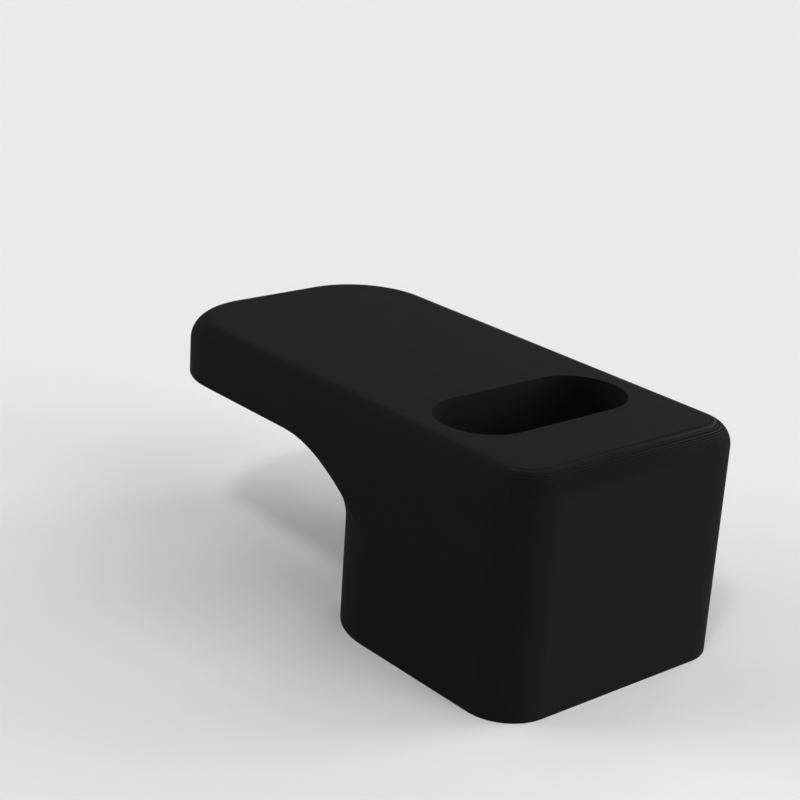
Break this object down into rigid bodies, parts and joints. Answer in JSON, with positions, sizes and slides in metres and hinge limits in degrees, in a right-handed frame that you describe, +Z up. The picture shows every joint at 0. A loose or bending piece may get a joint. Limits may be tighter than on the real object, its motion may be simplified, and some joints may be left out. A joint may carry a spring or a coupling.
{
  "type": "cable holder",
  "caption": "One-piece cable holder: a rounded block with an upright oblong slot through it, and a flat plate that runs out from its top over a hollow round.",
  "frame": {"origin": "on the ground under the middle of the object's length and width, at the height of the block's flat bottom", "axes": "+X from the plate's free end to the block's front face, +Z up through the top face, +Y to the left seen from behind the plate"},
  "size_m": [0.048, 0.025, 0.02],
  "materials": {
    "black_plastic": "matte, as printed"
  },
  "bodies": {
    "root": {"cable_holder": "black_plastic"}
  },
  "joints": []
}
